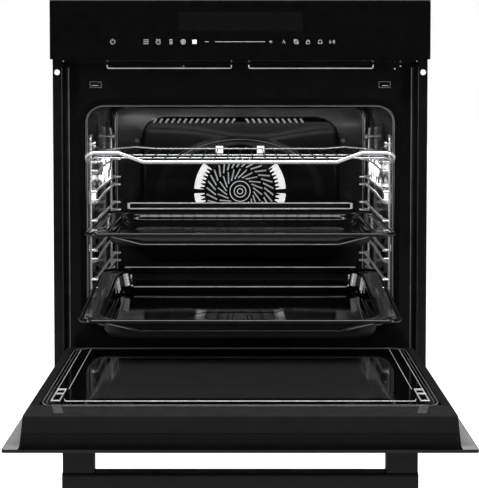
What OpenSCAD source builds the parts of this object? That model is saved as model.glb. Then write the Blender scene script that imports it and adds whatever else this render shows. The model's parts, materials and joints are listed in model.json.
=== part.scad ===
// Built-in electric wall oven, shown with its door open and its three shelves pulled out.
// X is to the right, Y points into the cabinet niche, Z is up. Y = 0 is the cabinet's front
// plane and Z = 0 the niche shelf that the base rests on. Millimetres.

/* [Front] */
// Width of the control panel and of the door's outer glass
front_w = 595; // [592:1:597]
// Height of the whole appliance
oven_h = 595; // [593:1:597]
// Height of the control panel
panel_h = 93; // [90:1:95]
// How far the front glass stands out of the cabinet plane
proud = 22; // [22:0.5:23]
// Thickness of the front glass
glass_t = 4; // [3:0.5:4]
// Bare gap between the door and the panel
door_gap = 4; // [3:0.5:5]

/* [Case] */
// Width of the case behind the front flange
case_w = 556; // [554:1:557]
// Height of the case
case_h = 584; // [582:1:586]
// Depth of the case behind the cabinet plane
case_d = 546; // [540:1:560]
// Thickness of the sheet steel
sheet = 1.2; // [1:0.1:1.2]
// Depth of the recessed face that the door closes against
face_y = 26; // [26:0.5:27]
// Radius of the holes for the screws that hold the oven in the cabinet
fix_r = 4.5; // [3:0.5:5]
// Distance between those two holes
fix_span = 578; // [574:1:580]

/* [Cavity] */
// Width of the cavity
cav_w = 487; // [485:1:488]
// Height of the cavity floor
cav_z = 77; // [76:1:78]
// Height of the cavity
cav_h = 350; // [349:1:352]
// Depth at which the cavity's back wall stands
cav_back = 440; // [438:1:442]
// Corner radius of the cavity
cav_r = 25; // [20:1:28]
// Height of the fan's axis
fan_z = 262; // [258:1:266]

/* [Racks and shelves] */
// Height of the lowest upper rail of the racks
rail_z = 102; // [101:0.5:103]
// Height from one rail pair to the next
rail_pitch = 47.5; // [47:0.5:48]
// Height between the two rails of one pair
rail_pair = 14; // [14:0.5:15]
// Radius of the rack wire
rack_r = 2; // [1.8:0.1:2]
// Width of the shelf and the trays
tray_w = 476; // [474:1:476]
// Depth of the shelf and the trays, front to back
tray_l = 375; // [370:1:375]
// Forward tilt of the pulled-out deep tray, degrees
tilt = 4.8; // [4.7:0.01:4.9]

/* [Door] */
// Distance of the hinge axis behind the cabinet plane
pivot_y = -11.5; // [-11.5:0.1:-11.4]
// Height of the hinge axis
pivot_z = 16; // [16:0.1:16.2]
// Thickness of the door
door_t = 44; // [43.5:0.1:44]
// Width of the door's inner body
inner_w = 544.8; // [540:0.2:545]
// Radius of the hinge pins
pin_r = 3; // [2.5:0.1:3]
// Clearance of every shaft and pin in its bore
run_fit = 0.05; // [0.02:0.01:0.1]

/* [Handle] */
// Length of the handle bar
bar_w = 450; // [440:1:460]
// Free depth behind the handle bar
bar_gap = 32.5; // [30:0.5:34]
// Thickness of the handle bar
bar_t = 22; // [18:1:24]
// Height of the handle bar
bar_h = 26; // [22:1:28]
// Width of each handle leg
leg_w = 40; // [30:1:45]

/* [Hidden] */
$fn = 48;

// Front
front_y = -proud;
panel_z = oven_h - panel_h;
flange_w = 592;
recess_w = 559;
recess_top = panel_z - 1;
face_w = 549;
case_x = case_w / 2;
// Cavity
cav_x = cav_w / 2;
cav_top = cav_z + cav_h;
rim = 5.5;
baffle_w = 375;
baffle_h = 275;
baffle_y = 418;
baffle_z = 126;
// Racks: one rail pair per shelf level
levels = [0 : 5];
stud_z = [119, 366];
rail_x = 232;
rod_x = 240.8;
rack_front = 38;
rack_back = 398;
rail_dip = 6;
dip_end = 180;
ledge_t = 1.2;
probe_z = 372;
// Door, in the door's own frame: Y from the hinge axis towards the oven, Z up along the door
door_front = front_y - pivot_y;
door_back = door_front + door_t;
glass_back = door_front + glass_t;
door_low = -9.8;
door_high = panel_z - door_gap - pivot_z;
body_low = 18;
body_high = door_high - 12.5;
cap_w = 58;
pane_w = 521;
pane_high = body_high - cap_w - 0.5;
handle_z = door_high - 37;
hinge_x = 255;

// ---------- shared shapes ----------
module block(x, y, z)
  translate([x[0], y[0], z[0]]) cube([x[1] - x[0], y[1] - y[0], z[1] - z[0]]);

module both() {
  children();
  mirror([1, 0, 0]) children();
}

module rounded(w, h, r) {
  translate([-w / 2 + r, 0]) square([w - 2 * r, h]);
  translate([-w / 2, r]) square([w, h - 2 * r]);
  for (x = [-w / 2 + r, w / 2 - r], y = [r, h - r]) translate([x, y]) circle(r);
}

// A profile drawn in X and Z, given a thickness along Y
module wall(y, z = 0)
  translate([0, y[1], z]) rotate([90, 0, 0]) linear_extrude(y[1] - y[0]) children();

// A profile drawn in Y and Z, given a length along X
module along_x(x)
  translate([x[0], 0, 0]) rotate([90, 0, 90]) linear_extrude(x[1] - x[0]) children();

module rod_x(x, y, z, r) translate([x[0], y, z]) rotate([0, 90, 0]) cylinder(r = r, h = x[1] - x[0]);
module rod_y(x, y, z, r) translate([x, y[1], z]) rotate([90, 0, 0]) cylinder(r = r, h = y[1] - y[0]);
module rod_z(x, y, z, r) translate([x, y, z[0]]) cylinder(r = r, h = z[1] - z[0]);

// A round wire through a list of points, with ball joints at its bends
module wire(points, r) {
  for (i = [0 : len(points) - 2]) {
    d = points[i + 1] - points[i];
    translate(points[i])
      rotate([0, acos(d[2] / norm(d)), atan2(d[1], d[0])]) cylinder(r = r, h = norm(d));
  }
  for (i = [1 : 1 : len(points) - 2]) translate(points[i]) sphere(r * 1.02);
}

module door_place() translate([0, pivot_y, pivot_z]) rotate([90, 0, 0]) children();

// ---------- case and front ----------
module front_frame() color("#0b0b0c") {
  difference() {
    union() {
      // flange on the cabinet
      wall([-sheet, 0], 2) difference() {
        translate([0, 0]) rounded(flange_w, oven_h - 5, 2);
        translate([-recess_w / 2, -1]) square([recess_w, recess_top - 1]);
        translate([-265, recess_top + 8]) square([530, 74]);
      }
      // sloped sides of the recess
      both() linear_extrude(recess_top - 2)
        polygon([[recess_w / 2, -sheet], [recess_w / 2 + 1.3, -sheet],
                 [face_w / 2 + 1.3, face_y + sheet], [face_w / 2, face_y + sheet]]);
      // sloped top of the recess
      along_x([-recess_w / 2, recess_w / 2])
        polygon([[-sheet, recess_top], [-sheet, recess_top + sheet],
                 [face_y + sheet, recess_top - 4], [face_y + sheet, recess_top - 4 - sheet]]);
      // recessed face around the cavity
      wall([face_y, face_y + sheet]) difference() {
        translate([-face_w / 2 - 0.7, 0]) square([face_w + 1.4, recess_top - 4.5]);
        translate([0, cav_z - sheet]) rounded(cav_w + 2 * sheet, cav_h + 2 * sheet, cav_r + sheet);
      }
      // tabs for the side panels
      both() block([face_w / 2 - 0.6, face_w / 2 + 0.9], [face_y + 0.4, face_y + 20], [12, 480]);
      // lips under the vent slots
      both() block([15, 211], [face_y - 3, face_y + 0.5], [487.6, 488.6]);
    }
    for (x = [-fix_span / 2, fix_span / 2]) rod_y(x, [-5, 5], 482, fix_r);
    both() block([15, 211], [face_y - 0.5, face_y + 5], [488.6, 493.5]);
    both() block([221.5, 240.5], [face_y - 5, face_y + 5], [457, 468]);
    both() block([245, 265], [face_y - 5, face_y + 5], [10.5, 27.5]);
  }
}

module cavity_hollow(grow, y) wall(y, cav_z - grow) rounded(cav_w + 2 * grow, cav_h + 2 * grow, cav_r + grow);

module cavity() color("#101011") difference() {
  union() {
    cavity_hollow(sheet, [face_y - sheet, cav_back + sheet]);
    // rolled rim in front of the recessed face
    cavity_hollow(rim, [face_y - sheet, face_y]);
    // pressed ribs of the side walls
    both() for (z = [120, 345]) block([cav_x - 1, cav_x + 3.2], [80, 380], [z, z + 46]);
  }
  cavity_hollow(0, [0, cav_back]);
  both() for (z = [120, 345]) block([cav_x - 2, cav_x + 2], [82, 378], [z + 2, z + 44]);
  rod_y(0, [cav_back - 5, cav_back + 5], fan_z, 8);
  both() block([cav_x - 2, cav_x + 5], [195, 345], [288, 327]);
  rod_y(-150, [cav_back - 5, cav_back + 5], probe_z, 3.5);
  for (x = [-14, 14]) rod_y(x, [cav_back - 5, cav_back + 5], fan_z - 92, 3.5);
  both() rod_y(195, [cav_back - 5, cav_back + 5], 356, 1.6);
  both() for (y = [rack_front + 6, rack_back - 6], z = stud_z)
    rod_x([cav_x - 5, cav_x + 5], y, z, 2);
}

module insulation() color("#d8cfae") difference() {
  block([-268, 268], [30, 460], [52, 455]);
  block([-250, 250], [20, 444], [68.5, 436]);
  rod_y(0, [440, 470], fan_z, 42);
  both() block([240, 280], [185, 355], [276, 339]);
  rod_y(-150, [440, 470], probe_z, 8);
  rod_y(0, [440, 470], 426, 28);
  rod_y(0, [440, 470], fan_z - 92, 22);
  rod_y(0, [440, 470], 72, 28);
}

module side_panel() color("#9a9da0") {
  block([case_x - sheet, case_x], [face_y + 1.5, case_d - 1], [1.4, case_h - 1.2]);
  block([case_x - 12, case_x - sheet], [case_d - 2.2, case_d - 1], [20, case_h - 20]);
}

module top_cover() color("#a4a7aa") difference() {
  block([-case_x, case_x], [face_y + 1.5, case_d - 1], [case_h - sheet, case_h]);
  for (i = [0 : 11]) block([-190 + i * 16, -180 + i * 16], [270, 400], [case_h - 5, case_h + 5]);
}

module rear_cover() color("#a4a7aa") difference() {
  block([-case_x, case_x], [case_d - 1, case_d], [0, case_h]);
  for (i = [0 : 13]) block([-110 + i * 16, -101 + i * 16], [case_d - 5, case_d + 5], [225, 300]);
  block([168, 232], [case_d - 5, case_d + 5], [523, 559]);
}

module base_plate() color("#8f9295") difference() {
  union() {
    block([-case_x, case_x], [face_y + 1.5, case_d - 1], [0, sheet]);
    both() block([case_x - 2.8, case_x - 1.6], [face_y + 24, case_d - 10], [0, 18]);
  }
  for (i = [0 : 15]) block([-126 + i * 16, -118 + i * 16], [80, 200], [-5, 5]);
}

// ---------- control panel ----------
module control_glass() color("#050506")
  wall([front_y, front_y + glass_t], panel_z) rounded(front_w, panel_h - 2, 1.5);

module control_trim() color("#3a3b3d")
  block([-front_w / 2, front_w / 2], [front_y, front_y + 19], [oven_h - 1.8, oven_h]);

module control_box() color("#18181a") difference() {
  block([-289, 289], [front_y + glass_t, -1.4], [panel_z + 0.5, oven_h - 2]);
  block([-286, 286], [front_y + glass_t + 2, 5], [panel_z + 3, oven_h - 4.5]);
  block([-98, 98], [front_y, 0], [540, 577]);
  block([-212, 152], [front_y, 0], [522, 537]);
}

module display_module() color("#0d1512") {
  block([-97.5, 97.5], [front_y + glass_t + 0.3, front_y + glass_t + 6], [540.5, 576.5]);
  block([-105, 105], [front_y + glass_t + 6, front_y + glass_t + 7.6], [538.5, 586]);
}

module touch_board() color("#1d5a3a") {
  block([-215, 155], [front_y + glass_t + 3, front_y + glass_t + 4.6], [519, 538]);
  for (x = [-199, -147, -128, -108, -89, -71, -52, 48, 68, 86, 106, 125, 143])
    translate([x, front_y + glass_t + 3.2, 529.5]) rotate([90, 0, 0]) cylinder(r = 5, h = 2.9);
}

module power_board() color("#1d5a3a") {
  block([165, 265], [255, 395], [480, 481.6]);
  for (x = [180, 205, 230]) block([x, x + 17], [275, 303], [481.6, 500]);
  block([180, 220], [325, 370], [481.6, 515]);
  for (y = [330, 355]) rod_z(245, y, [481.6, 512], 9);
  for (x = [170, 260], y = [260, 390]) rod_z(x, y, [455, 480], 3);
}

module terminal_block() color("#e8e4d8") difference() {
  block([170, 230], [case_d - 30, case_d + 0], [525, 557]);
  for (x = [182, 200, 218]) rod_y(x, [case_d - 20, case_d + 1], 541, 3.5);
}

// ---------- cavity fittings ----------
// Slots that lean outwards along one row of the fan cover
module slot_row(x0, x1, n, z, lean)
  for (i = [0 : n - 1]) translate([x0 + (x1 - x0) * i / (n - 1), z]) rotate(lean)
    square([3, 11], center = true);

module fan_baffle() color("#0d0d0e") {
  wall([baffle_y, baffle_y + sheet], baffle_z) difference() {
    rounded(baffle_w, baffle_h, 42);
    slot_row(-160, -12, 14, 268, -35);
    slot_row(14, 116, 10, 268, 35);
    slot_row(-102, 102, 18, 8, 0);
    translate([0, fan_z - baffle_z]) {
      circle(9);
      for (ring = [0 : 2], i = [0 : 27]) rotate(i * 360 / 28 + ring * 9)
        translate([28 + ring * 20, 0]) rotate(-35) square([15, 3.6 + ring * 0.8], center = true);
    }
  }
  wall([baffle_y, cav_back - 0.2], baffle_z) difference() {
    rounded(baffle_w, baffle_h, 42);
    translate([0, sheet]) rounded(baffle_w - 2 * sheet, baffle_h - 2 * sheet, 42 - sheet);
  }
  both() difference() {
    block([baffle_w / 2 - 0.5, 203], [cav_back - 1.6, cav_back - 0.2], [346, 366]);
    rod_y(195, [cav_back - 5, cav_back], 356, 1.6);
  }
}

module baffle_screws() color("silver") both() {
  rod_y(195, [cav_back - 4.2, cav_back - 1.6], 356, 4);
  rod_y(195, [cav_back - 4.2, cav_back + 3.8], 356, 1.55);
}

module ring_element() color("#4a4644") {
  translate([0, cav_back - 9, fan_z]) rotate([90, 0, 0]) difference() {
    rotate_extrude() translate([92, 0]) circle(3.2);
    translate([-9, -100, -10]) cube([18, 20, 20]);
  }
  for (x = [-14, 14]) {
    rod_y(x, [cav_back - 9, cav_back + 30], fan_z - 92, 3.2);
    translate([x, cav_back - 9, fan_z - 92]) sphere(3.4);
  }
}

// Heating rods on the cavity roof: nested loops, under the insulation
module grill_element() color("#4a4644") {
  z = cav_top + 5;
  for (s = [-1, 1]) wire([[s * 20, cav_back + 15, z], [s * 20, 400, z], [s * 180, 400, z],
                          [s * 180, 70, z], [s * 110, 70, z], [s * 110, 350, z], [0, 350, z]], 3);
  for (s = [-1, 1]) wire([[s * 145, 401, z], [s * 145, 110, z]], 2.9);
}

module bottom_element() color("#4a4644") {
  z = 72;
  for (s = [-1, 1]) wire([[s * 20, cav_back + 15, z], [s * 20, 400, z], [s * 180, 400, z],
                          [s * 180, 90, z], [s * 60, 90, z], [s * 60, 340, z], [0, 340, z]], 3);
}

module rack_rail(z, dip) wire([
  [rod_x, rack_front, z - dip - 2], [rail_x, rack_front + 9, z - dip], [rail_x, dip_end, z],
  [rail_x, rack_back - 8, z], [rod_x, rack_back, z - 2]], rack_r);

module side_rack() color("#c9ccd0") {
  for (y = [rack_front, rack_back]) rod_z(rod_x, y, [rail_z - 3.5, 376], rack_r * 1.05);
  for (i = levels) {
    rack_rail(rail_z + i * rail_pitch, 0);
    if (i > 0) rack_rail(rail_z + i * rail_pitch - rail_pair, rail_dip);
  }
}

module rack_studs() color("silver") both()
  for (y = [rack_front + 6, rack_back - 6], z = stud_z) {
    rod_x([cav_x - 7.6, cav_x], y, z, 3);
    rod_x([cav_x - 10.5, cav_x - 7.4], y, z, 6);
    rod_x([cav_x, cav_x + 5], y, z, 1.95);
  }

module lamp_housing() color("#b9bbbd") difference() {
  union() {
    block([cav_x + sheet + 0.1, cav_x + 22], [191, 349], [284, 331]);
    block([cav_x - 1.5, cav_x + sheet + 1], [195.2, 344.8], [288.2, 326.8]);
  }
  block([cav_x - 3, cav_x + 20.5], [197, 343], [290, 325]);
}

module lamp_glass() color("#f4f6f8") {
  block([cav_x - 6.5, cav_x - 1.6], [193, 347], [286, 329]);
  block([cav_x - 1.6, cav_x + 1], [197.5, 342.5], [290.5, 324.5]);
}

module door_gasket() color("#1a1a1b") wall([door_back + pivot_y + 0.3, face_y], cav_z - 12) difference() {
  rounded(cav_w + 24, cav_h + 24, cav_r + 12);
  translate([0, 6]) rounded(cav_w + 12, cav_h + 12, cav_r + 6);
}

module temperature_probe() color("silver") {
  rod_y(-150, [cav_back - 16, cav_back + 30], probe_z, 2.6);
  rod_y(-150, [cav_back - 5, cav_back], probe_z, 6);
}

module fan_motor() color("#6d7073") difference() {
  union() {
    rod_y(0, [463, 520], fan_z, 34);
    rod_y(0, [450, 463], fan_z, 14);
    block([-60, 60], [466, 468], [fan_z - 12, fan_z + 12]);
    both() block([52, 60], [461, 466], [fan_z - 12, fan_z + 12]);
  }
  rod_y(0, [440, 508], fan_z, 4 + run_fit);
}

module fan_wheel() color("#8a8d90") difference() {
  union() {
    rod_y(0, [435.6, 436.8], fan_z, 70);
    rod_y(0, [426, 436], fan_z, 10);
    for (i = [0 : 9]) translate([0, 0, fan_z]) rotate([0, i * 36, 0]) block([9, 66], [424.5, 436], [-0.7, 0.7]);
  }
  rod_y(0, [400, 450], fan_z, 4.02);
}

module fan_shaft() color("silver") rod_y(0, [421, 507.5], fan_z, 4);

module fan_nut() color("silver") difference() {
  translate([0, 425.9, fan_z]) rotate([90, 0, 0]) cylinder(r = 8, h = 4, $fn = 6);
  rod_y(0, [400, 450], fan_z, 4.02);
}

// ---------- cooling blower ----------
blow_y = 330;
blow_z = 520;
module blower_housing() color("#8f9295") {
  along_x([-106, 106]) difference() {
    union() {
      translate([blow_y, blow_z]) circle(42);
      translate([blow_y - 90, blow_z - 42]) square([90, 26]);
    }
    translate([blow_y, blow_z]) circle(40.8);
    translate([blow_y - 95, blow_z - 40.8]) square([95, 23.6]);
    translate([blow_y - 20, blow_z + 20]) square([40, 40]);
  }
  for (x = [-107.2, 106]) difference() {
    along_x([x, x + 1.2]) union() {
      translate([blow_y, blow_z]) circle(42);
      translate([blow_y - 90, blow_z - 42]) square([90, 26]);
    }
    rod_x([x - 5, x + 5], blow_y, blow_z, 3 + run_fit);
  }
}

module blower_wheel() color("#b9bbbd") difference() {
  union() {
    for (x = [-100, 0, 98.8]) rod_x([x, x + 1.2], blow_y, blow_z, 32);
    rod_x([-8, 8], blow_y, blow_z, 8);
    along_x([-99.5, 99.5]) translate([blow_y, blow_z]) for (i = [0 : 23]) rotate(i * 15)
      translate([27, 0]) rotate(35) square([6.5, 0.9], center = true);
  }
  rod_x([-120, 120], blow_y, blow_z, 3.02);
}

module blower_shaft() color("silver") rod_x([-112, 150], blow_y, blow_z, 3);

module blower_motor() color("#6d7073") difference() {
  union() {
    rod_x([109, 160], blow_y, blow_z, 26);
    block([112, 150], [blow_y - 30, blow_y + 30], [blow_z - 56, blow_z - 24]);
  }
  rod_x([100, 151], blow_y, blow_z, 3 + run_fit);
}

module air_duct() color("#8f9295") difference() {
  block([-213, 213], [face_y + 2, blow_y - 91], [476, 504.5]);
  block([-211.8, 211.8], [0, blow_y - 110], [477.2, 503.3]);
  block([-106, 106], [100, 300], [blow_z - 41, blow_z - 17]);
}

// ---------- hinges ----------
module hinge_bracket() color("#8f9295") difference() {
  union() {
    for (x = [hinge_x - 7, hinge_x + 4]) {
      block([x, x + 3], [pivot_y, face_y + 22], [pivot_z - 5, pivot_z + 5]);
      rod_x([x, x + 3], pivot_y, pivot_z, 5.8);
    }
    block([hinge_x - 7, hinge_x + 7], [face_y - 12, face_y + 22], [pivot_z - 5, pivot_z - 3]);
    block([hinge_x - 7, hinge_x + 7], [face_y + 20, face_y + 22], [pivot_z - 5, pivot_z + 20]);
  }
  rod_x([hinge_x - 20, hinge_x + 20], pivot_y, pivot_z, pin_r);
}

module hinge_pins() color("silver") both() {
  rod_x([hinge_x - 8, hinge_x + 8], pivot_y, pivot_z, pin_r);
  rod_x([hinge_x + 7.1, hinge_x + 8.6], pivot_y, pivot_z, pin_r + 1.2);
}

// ---------- door, drawn closed and laid open about the hinge axis ----------
module hinge_arms() color("#b9bbbd") door_place() both() difference() {
  union() {
    rod_x([hinge_x - 2.5, hinge_x + 2.5], 0, 0, 5.8);
    block([hinge_x - 2.5, hinge_x + 2.5], [-5.5, 5.5], [0, 120]);
  }
  rod_x([hinge_x - 20, hinge_x + 20], 0, 0, pin_r + run_fit);
}

module door_outer_glass() color("#060607") door_place()
  wall([door_front, glass_back], door_low) rounded(front_w, door_high - door_low, 3);

module door_middle_glass() color("#3b4146") door_place()
  for (y = [6, 18]) block([-247, 247], [y, y + 3], [body_low + 14, pane_high - 6]);

module door_inner_glass() color("#15181a") door_place()
  wall([door_back - 3.5, door_back], body_low + 4) rounded(pane_w, pane_high - body_low - 4, 22);

// Side rail: a channel that holds the panes, flared towards the outer glass
module door_rail() color("#0c0c0d") door_place() difference() {
  translate([0, 0, body_low + 10.2]) linear_extrude(pane_high - body_low - 10.2)
    polygon([[248, glass_back], [277, glass_back], [inner_w / 2, door_back], [261, door_back],
             [261, door_back - 3.8], [248, door_back - 3.8]]);
  block([240, 250], [5.7, 9.3], [body_low, pane_high + 5]);
  block([240, 250], [17.7, 21.3], [body_low, pane_high + 5]);
  block([251.5, 258.5], [-6.6, 6.2], [body_low, 130]);
}

module cap_section(grow) polygon([
  [-277 + grow, glass_back], [277 - grow, glass_back],
  [inner_w / 2 - grow, door_back], [-inner_w / 2 + grow, door_back]]);

module door_top_cap() color("#0c0c0d") door_place() difference() {
  intersection() {
    translate([0, 0, pane_high + 0.3]) linear_extrude(body_high - pane_high - 0.3) cap_section(0);
    block([-300, 300], [11.4, door_back + 1], [0, 600]);
  }
  block([-268, 268], [0, door_back - 2.2], [pane_high - 5, body_high - 2.2]);
}

module door_air_strip() color("#0c0c0d") door_place() difference() {
  intersection() {
    translate([0, 0, pane_high + 0.3]) linear_extrude(body_high - pane_high - 0.3) cap_section(0);
    block([-300, 300], [glass_back, 11], [0, 600]);
  }
  block([-268, 268], [-4, 20], [pane_high - 5, body_high - 2.2]);
  for (x = [-204, 204]) rod_y(x, [-20, 20], handle_z, 2.6);
}

module door_bottom_bar() color("#0c0c0d") door_place() difference() {
  translate([0, 0, body_low]) linear_extrude(10) cap_section(1);
  block([-300, 300], [door_back - 3.8, door_back + 5], [body_low + 3.8, 60]);
  both() block([251.5, 258.5], [-6.6, 6.2], [0, 60]);
}

module glass_clips() color("#77797c") door_place() both()
  block([236, 247.6], [door_back - 6, door_back - 3.6], [318, 390]);

module handle() color("#0b0b0c") door_place() difference() {
  union() {
    along_x([-bar_w / 2, bar_w / 2]) translate([door_front - bar_gap - bar_t / 2, handle_z - bar_h / 2])
      rounded(bar_t, bar_h, 4);
    both() block([bar_w / 2 - leg_w, bar_w / 2 - 0.5], [door_front - bar_gap - 6, door_front],
                 [handle_z - 10, handle_z + 10]);
  }
  both() rod_y(204, [door_front - 20, door_front + 5], handle_z, 2.05);
}

module handle_screws() color("silver") door_place() both() {
  rod_y(204, [door_front - 18, door_front], handle_z, 2);
}

// ---------- shelves ----------
shelf_y = -76;
shelf_z = rail_z + 5 * rail_pitch + rack_r + 0.3;
// the two cross bars under the rods
bars_y = [52, 145];
module wire_shelf() color("#c9ccd0") {
  r = 2.5;
  z = shelf_z + r;
  up = z + 14;
  x = tray_w / 2 - r;
  wire([[-148, shelf_y, z], [-186, shelf_y, up], [-x + 5, shelf_y, up], [-x, shelf_y + 5, up],
        [-x, shelf_y + 24, z], [-x, shelf_y + tray_l - 5, z], [-x + 5, shelf_y + tray_l, z + 7],
        [-188, shelf_y + tray_l, z + 7], [-150, shelf_y + tray_l, z + 1],
        [150, shelf_y + tray_l, z + 1], [188, shelf_y + tray_l, z + 7],
        [x - 5, shelf_y + tray_l, z + 7], [x, shelf_y + tray_l - 5, z], [x, shelf_y + 24, z],
        [x, shelf_y + 5, up], [x - 5, shelf_y, up], [186, shelf_y, up], [148, shelf_y, z]], r);
  rod_x([-148, 148], shelf_y, z, r);
  for (y = bars_y) rod_x([-x, x], y, z - 0.5, r * 0.9);
  for (i = [0 : 20]) rod_y(-200 + i * 20, abs(i - 10) > 7 ? [bars_y[0] - 1, 255] : [shelf_y, shelf_y + tray_l],
                           z + 1.8, 1.25);
}

module shelf_stops() color("#f2f3f4") for (x = [-37, 37])
  block([x - 6.5, x + 6.5], [shelf_y + tray_l + 2.7, shelf_y + tray_l + 6], [shelf_z - 3, shelf_z + 10]);

// Rounded rectangle from y0 to y1, centred on X
module pan_outline(w, y0, y1, r) translate([0, y0]) rounded(w, y1 - y0, r);

module pan_well(long, depth, inset) hull() {
  translate([0, 0, -0.01]) linear_extrude(0.02)
    pan_outline(well_top - 2 * inset, 14 + inset, long - 14 - inset, well_r, $fn = 32);
  translate([0, 0, -depth + inset]) linear_extrude(0.02)
    pan_outline(well_low - 2 * inset, 26 + inset, long - 22 - inset, well_r - 4, $fn = 32);
}

// Enamelled pan: ledge plane at Z = 0, front edge at Y = 0
module pan(long, depth, apron, edge, lip) color("#101011") {
  difference() {
    union() {
      linear_extrude(ledge_t) pan_outline(tray_w, 0, long, 8);
      pan_well(long, depth, 0);
    }
    pan_well(long, depth, ledge_t);
    translate([0, 0, -0.05]) linear_extrude(5)
      pan_outline(well_top - 2 * ledge_t, 14 + ledge_t, long - 14 - ledge_t, well_r - 1);
  }
  // raised edge
  difference() {
    linear_extrude(edge) pan_outline(tray_w, 0, long, 8);
    translate([0, 0, -1]) linear_extrude(8) pan_outline(tray_w - 2.4, 1.2, long - 1.2, 6.8);
  }
  // sloped grip under the front edge
  wall([0, 1.2]) polygon([[-232, 0.5], [-150, -apron], [150, -apron], [232, 0.5]]);
  // back lip
  block([-198, 198], [long - 8, long - 6.8], [0.6, lip]);
}

well_top = 412;
well_low = 384;
well_r = 32;
shallow_y = -98;
shallow_z = rail_z + 3 * rail_pitch - rail_pair + rack_r + 0.3;
module shallow_tray() translate([0, shallow_y, shallow_z]) pan(tray_l, 24, 15, 4.2, 20);

// The deep tray rests in the dip of its rails, with its front edge low
deep_l = 350;
deep_y = -180;
deep_z = 114;
module deep_tray() translate([0, deep_y, deep_z]) rotate([tilt, 0, 0]) pan(deep_l, 33, 12.5, 2.6, 10);

front_frame();
cavity();
insulation();
mirror([1, 0, 0]) side_panel();  // side_panel_left
side_panel();  // side_panel_right
top_cover();
rear_cover();
base_plate();
control_glass();
control_trim();
control_box();
display_module();
touch_board();
power_board();
fan_baffle();
baffle_screws();
ring_element();
fan_motor();
grill_element();
bottom_element();
mirror([1, 0, 0]) side_rack();  // side_rack_left
side_rack();  // side_rack_right
rack_studs();
mirror([1, 0, 0]) lamp_housing();  // lamp_housing_left
lamp_housing();  // lamp_housing_right
mirror([1, 0, 0]) lamp_glass();  // lamp_glass_left
lamp_glass();  // lamp_glass_right
door_gasket();
mirror([1, 0, 0]) hinge_bracket();  // hinge_bracket_left
hinge_bracket();  // hinge_bracket_right
hinge_pins();
blower_housing();
blower_motor();
air_duct();
terminal_block();
temperature_probe();
door_outer_glass();
door_middle_glass();
door_inner_glass();
mirror([1, 0, 0]) door_rail();  // door_rail_left
door_rail();  // door_rail_right
door_top_cap();
door_air_strip();
door_bottom_bar();
glass_clips();
handle();
handle_screws();
hinge_arms();
wire_shelf();
shelf_stops();
shallow_tray();
deep_tray();
fan_wheel();
fan_shaft();
fan_nut();
blower_wheel();
blower_shaft();
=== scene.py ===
"""A built-in wall oven, its door open and its shelves pulled out, dressed round the CAD frame."""
import json
import math

import bmesh
import bpy
from mathutils import Matrix, Vector


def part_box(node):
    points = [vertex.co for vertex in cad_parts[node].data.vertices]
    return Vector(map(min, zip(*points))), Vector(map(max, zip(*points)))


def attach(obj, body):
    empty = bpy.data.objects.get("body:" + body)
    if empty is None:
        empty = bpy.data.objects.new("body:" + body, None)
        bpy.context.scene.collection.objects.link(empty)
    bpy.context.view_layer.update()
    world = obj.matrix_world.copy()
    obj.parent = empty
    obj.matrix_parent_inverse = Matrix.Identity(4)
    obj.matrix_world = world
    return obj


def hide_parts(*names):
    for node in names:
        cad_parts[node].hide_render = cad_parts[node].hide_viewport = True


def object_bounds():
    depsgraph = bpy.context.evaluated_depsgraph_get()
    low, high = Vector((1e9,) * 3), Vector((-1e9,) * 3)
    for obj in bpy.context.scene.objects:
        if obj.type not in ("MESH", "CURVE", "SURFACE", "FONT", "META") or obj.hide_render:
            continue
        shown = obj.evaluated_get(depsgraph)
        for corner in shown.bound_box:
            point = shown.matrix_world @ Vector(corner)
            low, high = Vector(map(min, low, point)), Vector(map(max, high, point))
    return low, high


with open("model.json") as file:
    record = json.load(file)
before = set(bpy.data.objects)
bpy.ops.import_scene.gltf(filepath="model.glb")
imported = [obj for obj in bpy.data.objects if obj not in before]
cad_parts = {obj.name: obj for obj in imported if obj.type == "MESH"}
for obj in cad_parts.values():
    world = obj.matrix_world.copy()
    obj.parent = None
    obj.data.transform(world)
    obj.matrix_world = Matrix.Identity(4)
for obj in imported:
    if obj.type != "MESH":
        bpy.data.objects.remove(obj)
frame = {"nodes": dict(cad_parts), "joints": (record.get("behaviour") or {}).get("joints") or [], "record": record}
CAD_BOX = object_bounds()
NODES = frame["nodes"]
MM = 0.001

# ---------------------------------------------------------------- camera
CAM_PLACE = (-0.001, -2.221, 0.4662)
CAM_PITCH = 0.0456
CAM_SHIFT = -0.2
SENSOR_WIDTH, FOCAL_LENGTH = 36, 103.6


def make_camera():
    data = bpy.data.cameras.new("camera")
    data.sensor_width = SENSOR_WIDTH
    data.lens = FOCAL_LENGTH
    data.shift_y = CAM_SHIFT
    data.clip_start, data.clip_end = 0.05, 60
    cam = bpy.data.objects.new("camera", data)
    bpy.context.scene.collection.objects.link(cam)
    cam.location = CAM_PLACE
    cam.rotation_euler = (math.pi / 2 - CAM_PITCH, 0, 0)
    bpy.context.scene.camera = cam


make_camera()

# ---------------------------------------------------------------- shader helpers


def new_material(name):
    """A material with its node tree and its main shader."""
    mat = bpy.data.materials.new(name)
    mat.use_nodes = True
    tree = mat.node_tree
    return mat, tree, tree.nodes["Principled BSDF"]


def add(tree, kind, **values):
    """A shader node with some of its inputs or settings given by name."""
    node = tree.nodes.new(kind)
    for key, value in values.items():
        if key in node.inputs:
            node.inputs[key].default_value = value
        else:
            setattr(node, key, value)
    return node


def noise(tree, scale, detail=3.0, rough=0.5):
    coords = add(tree, "ShaderNodeTexCoord")
    node = add(tree, "ShaderNodeTexNoise", Scale=scale, Detail=detail, Roughness=rough)
    tree.links.new(coords.outputs["Object"], node.inputs["Vector"])
    return node


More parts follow.
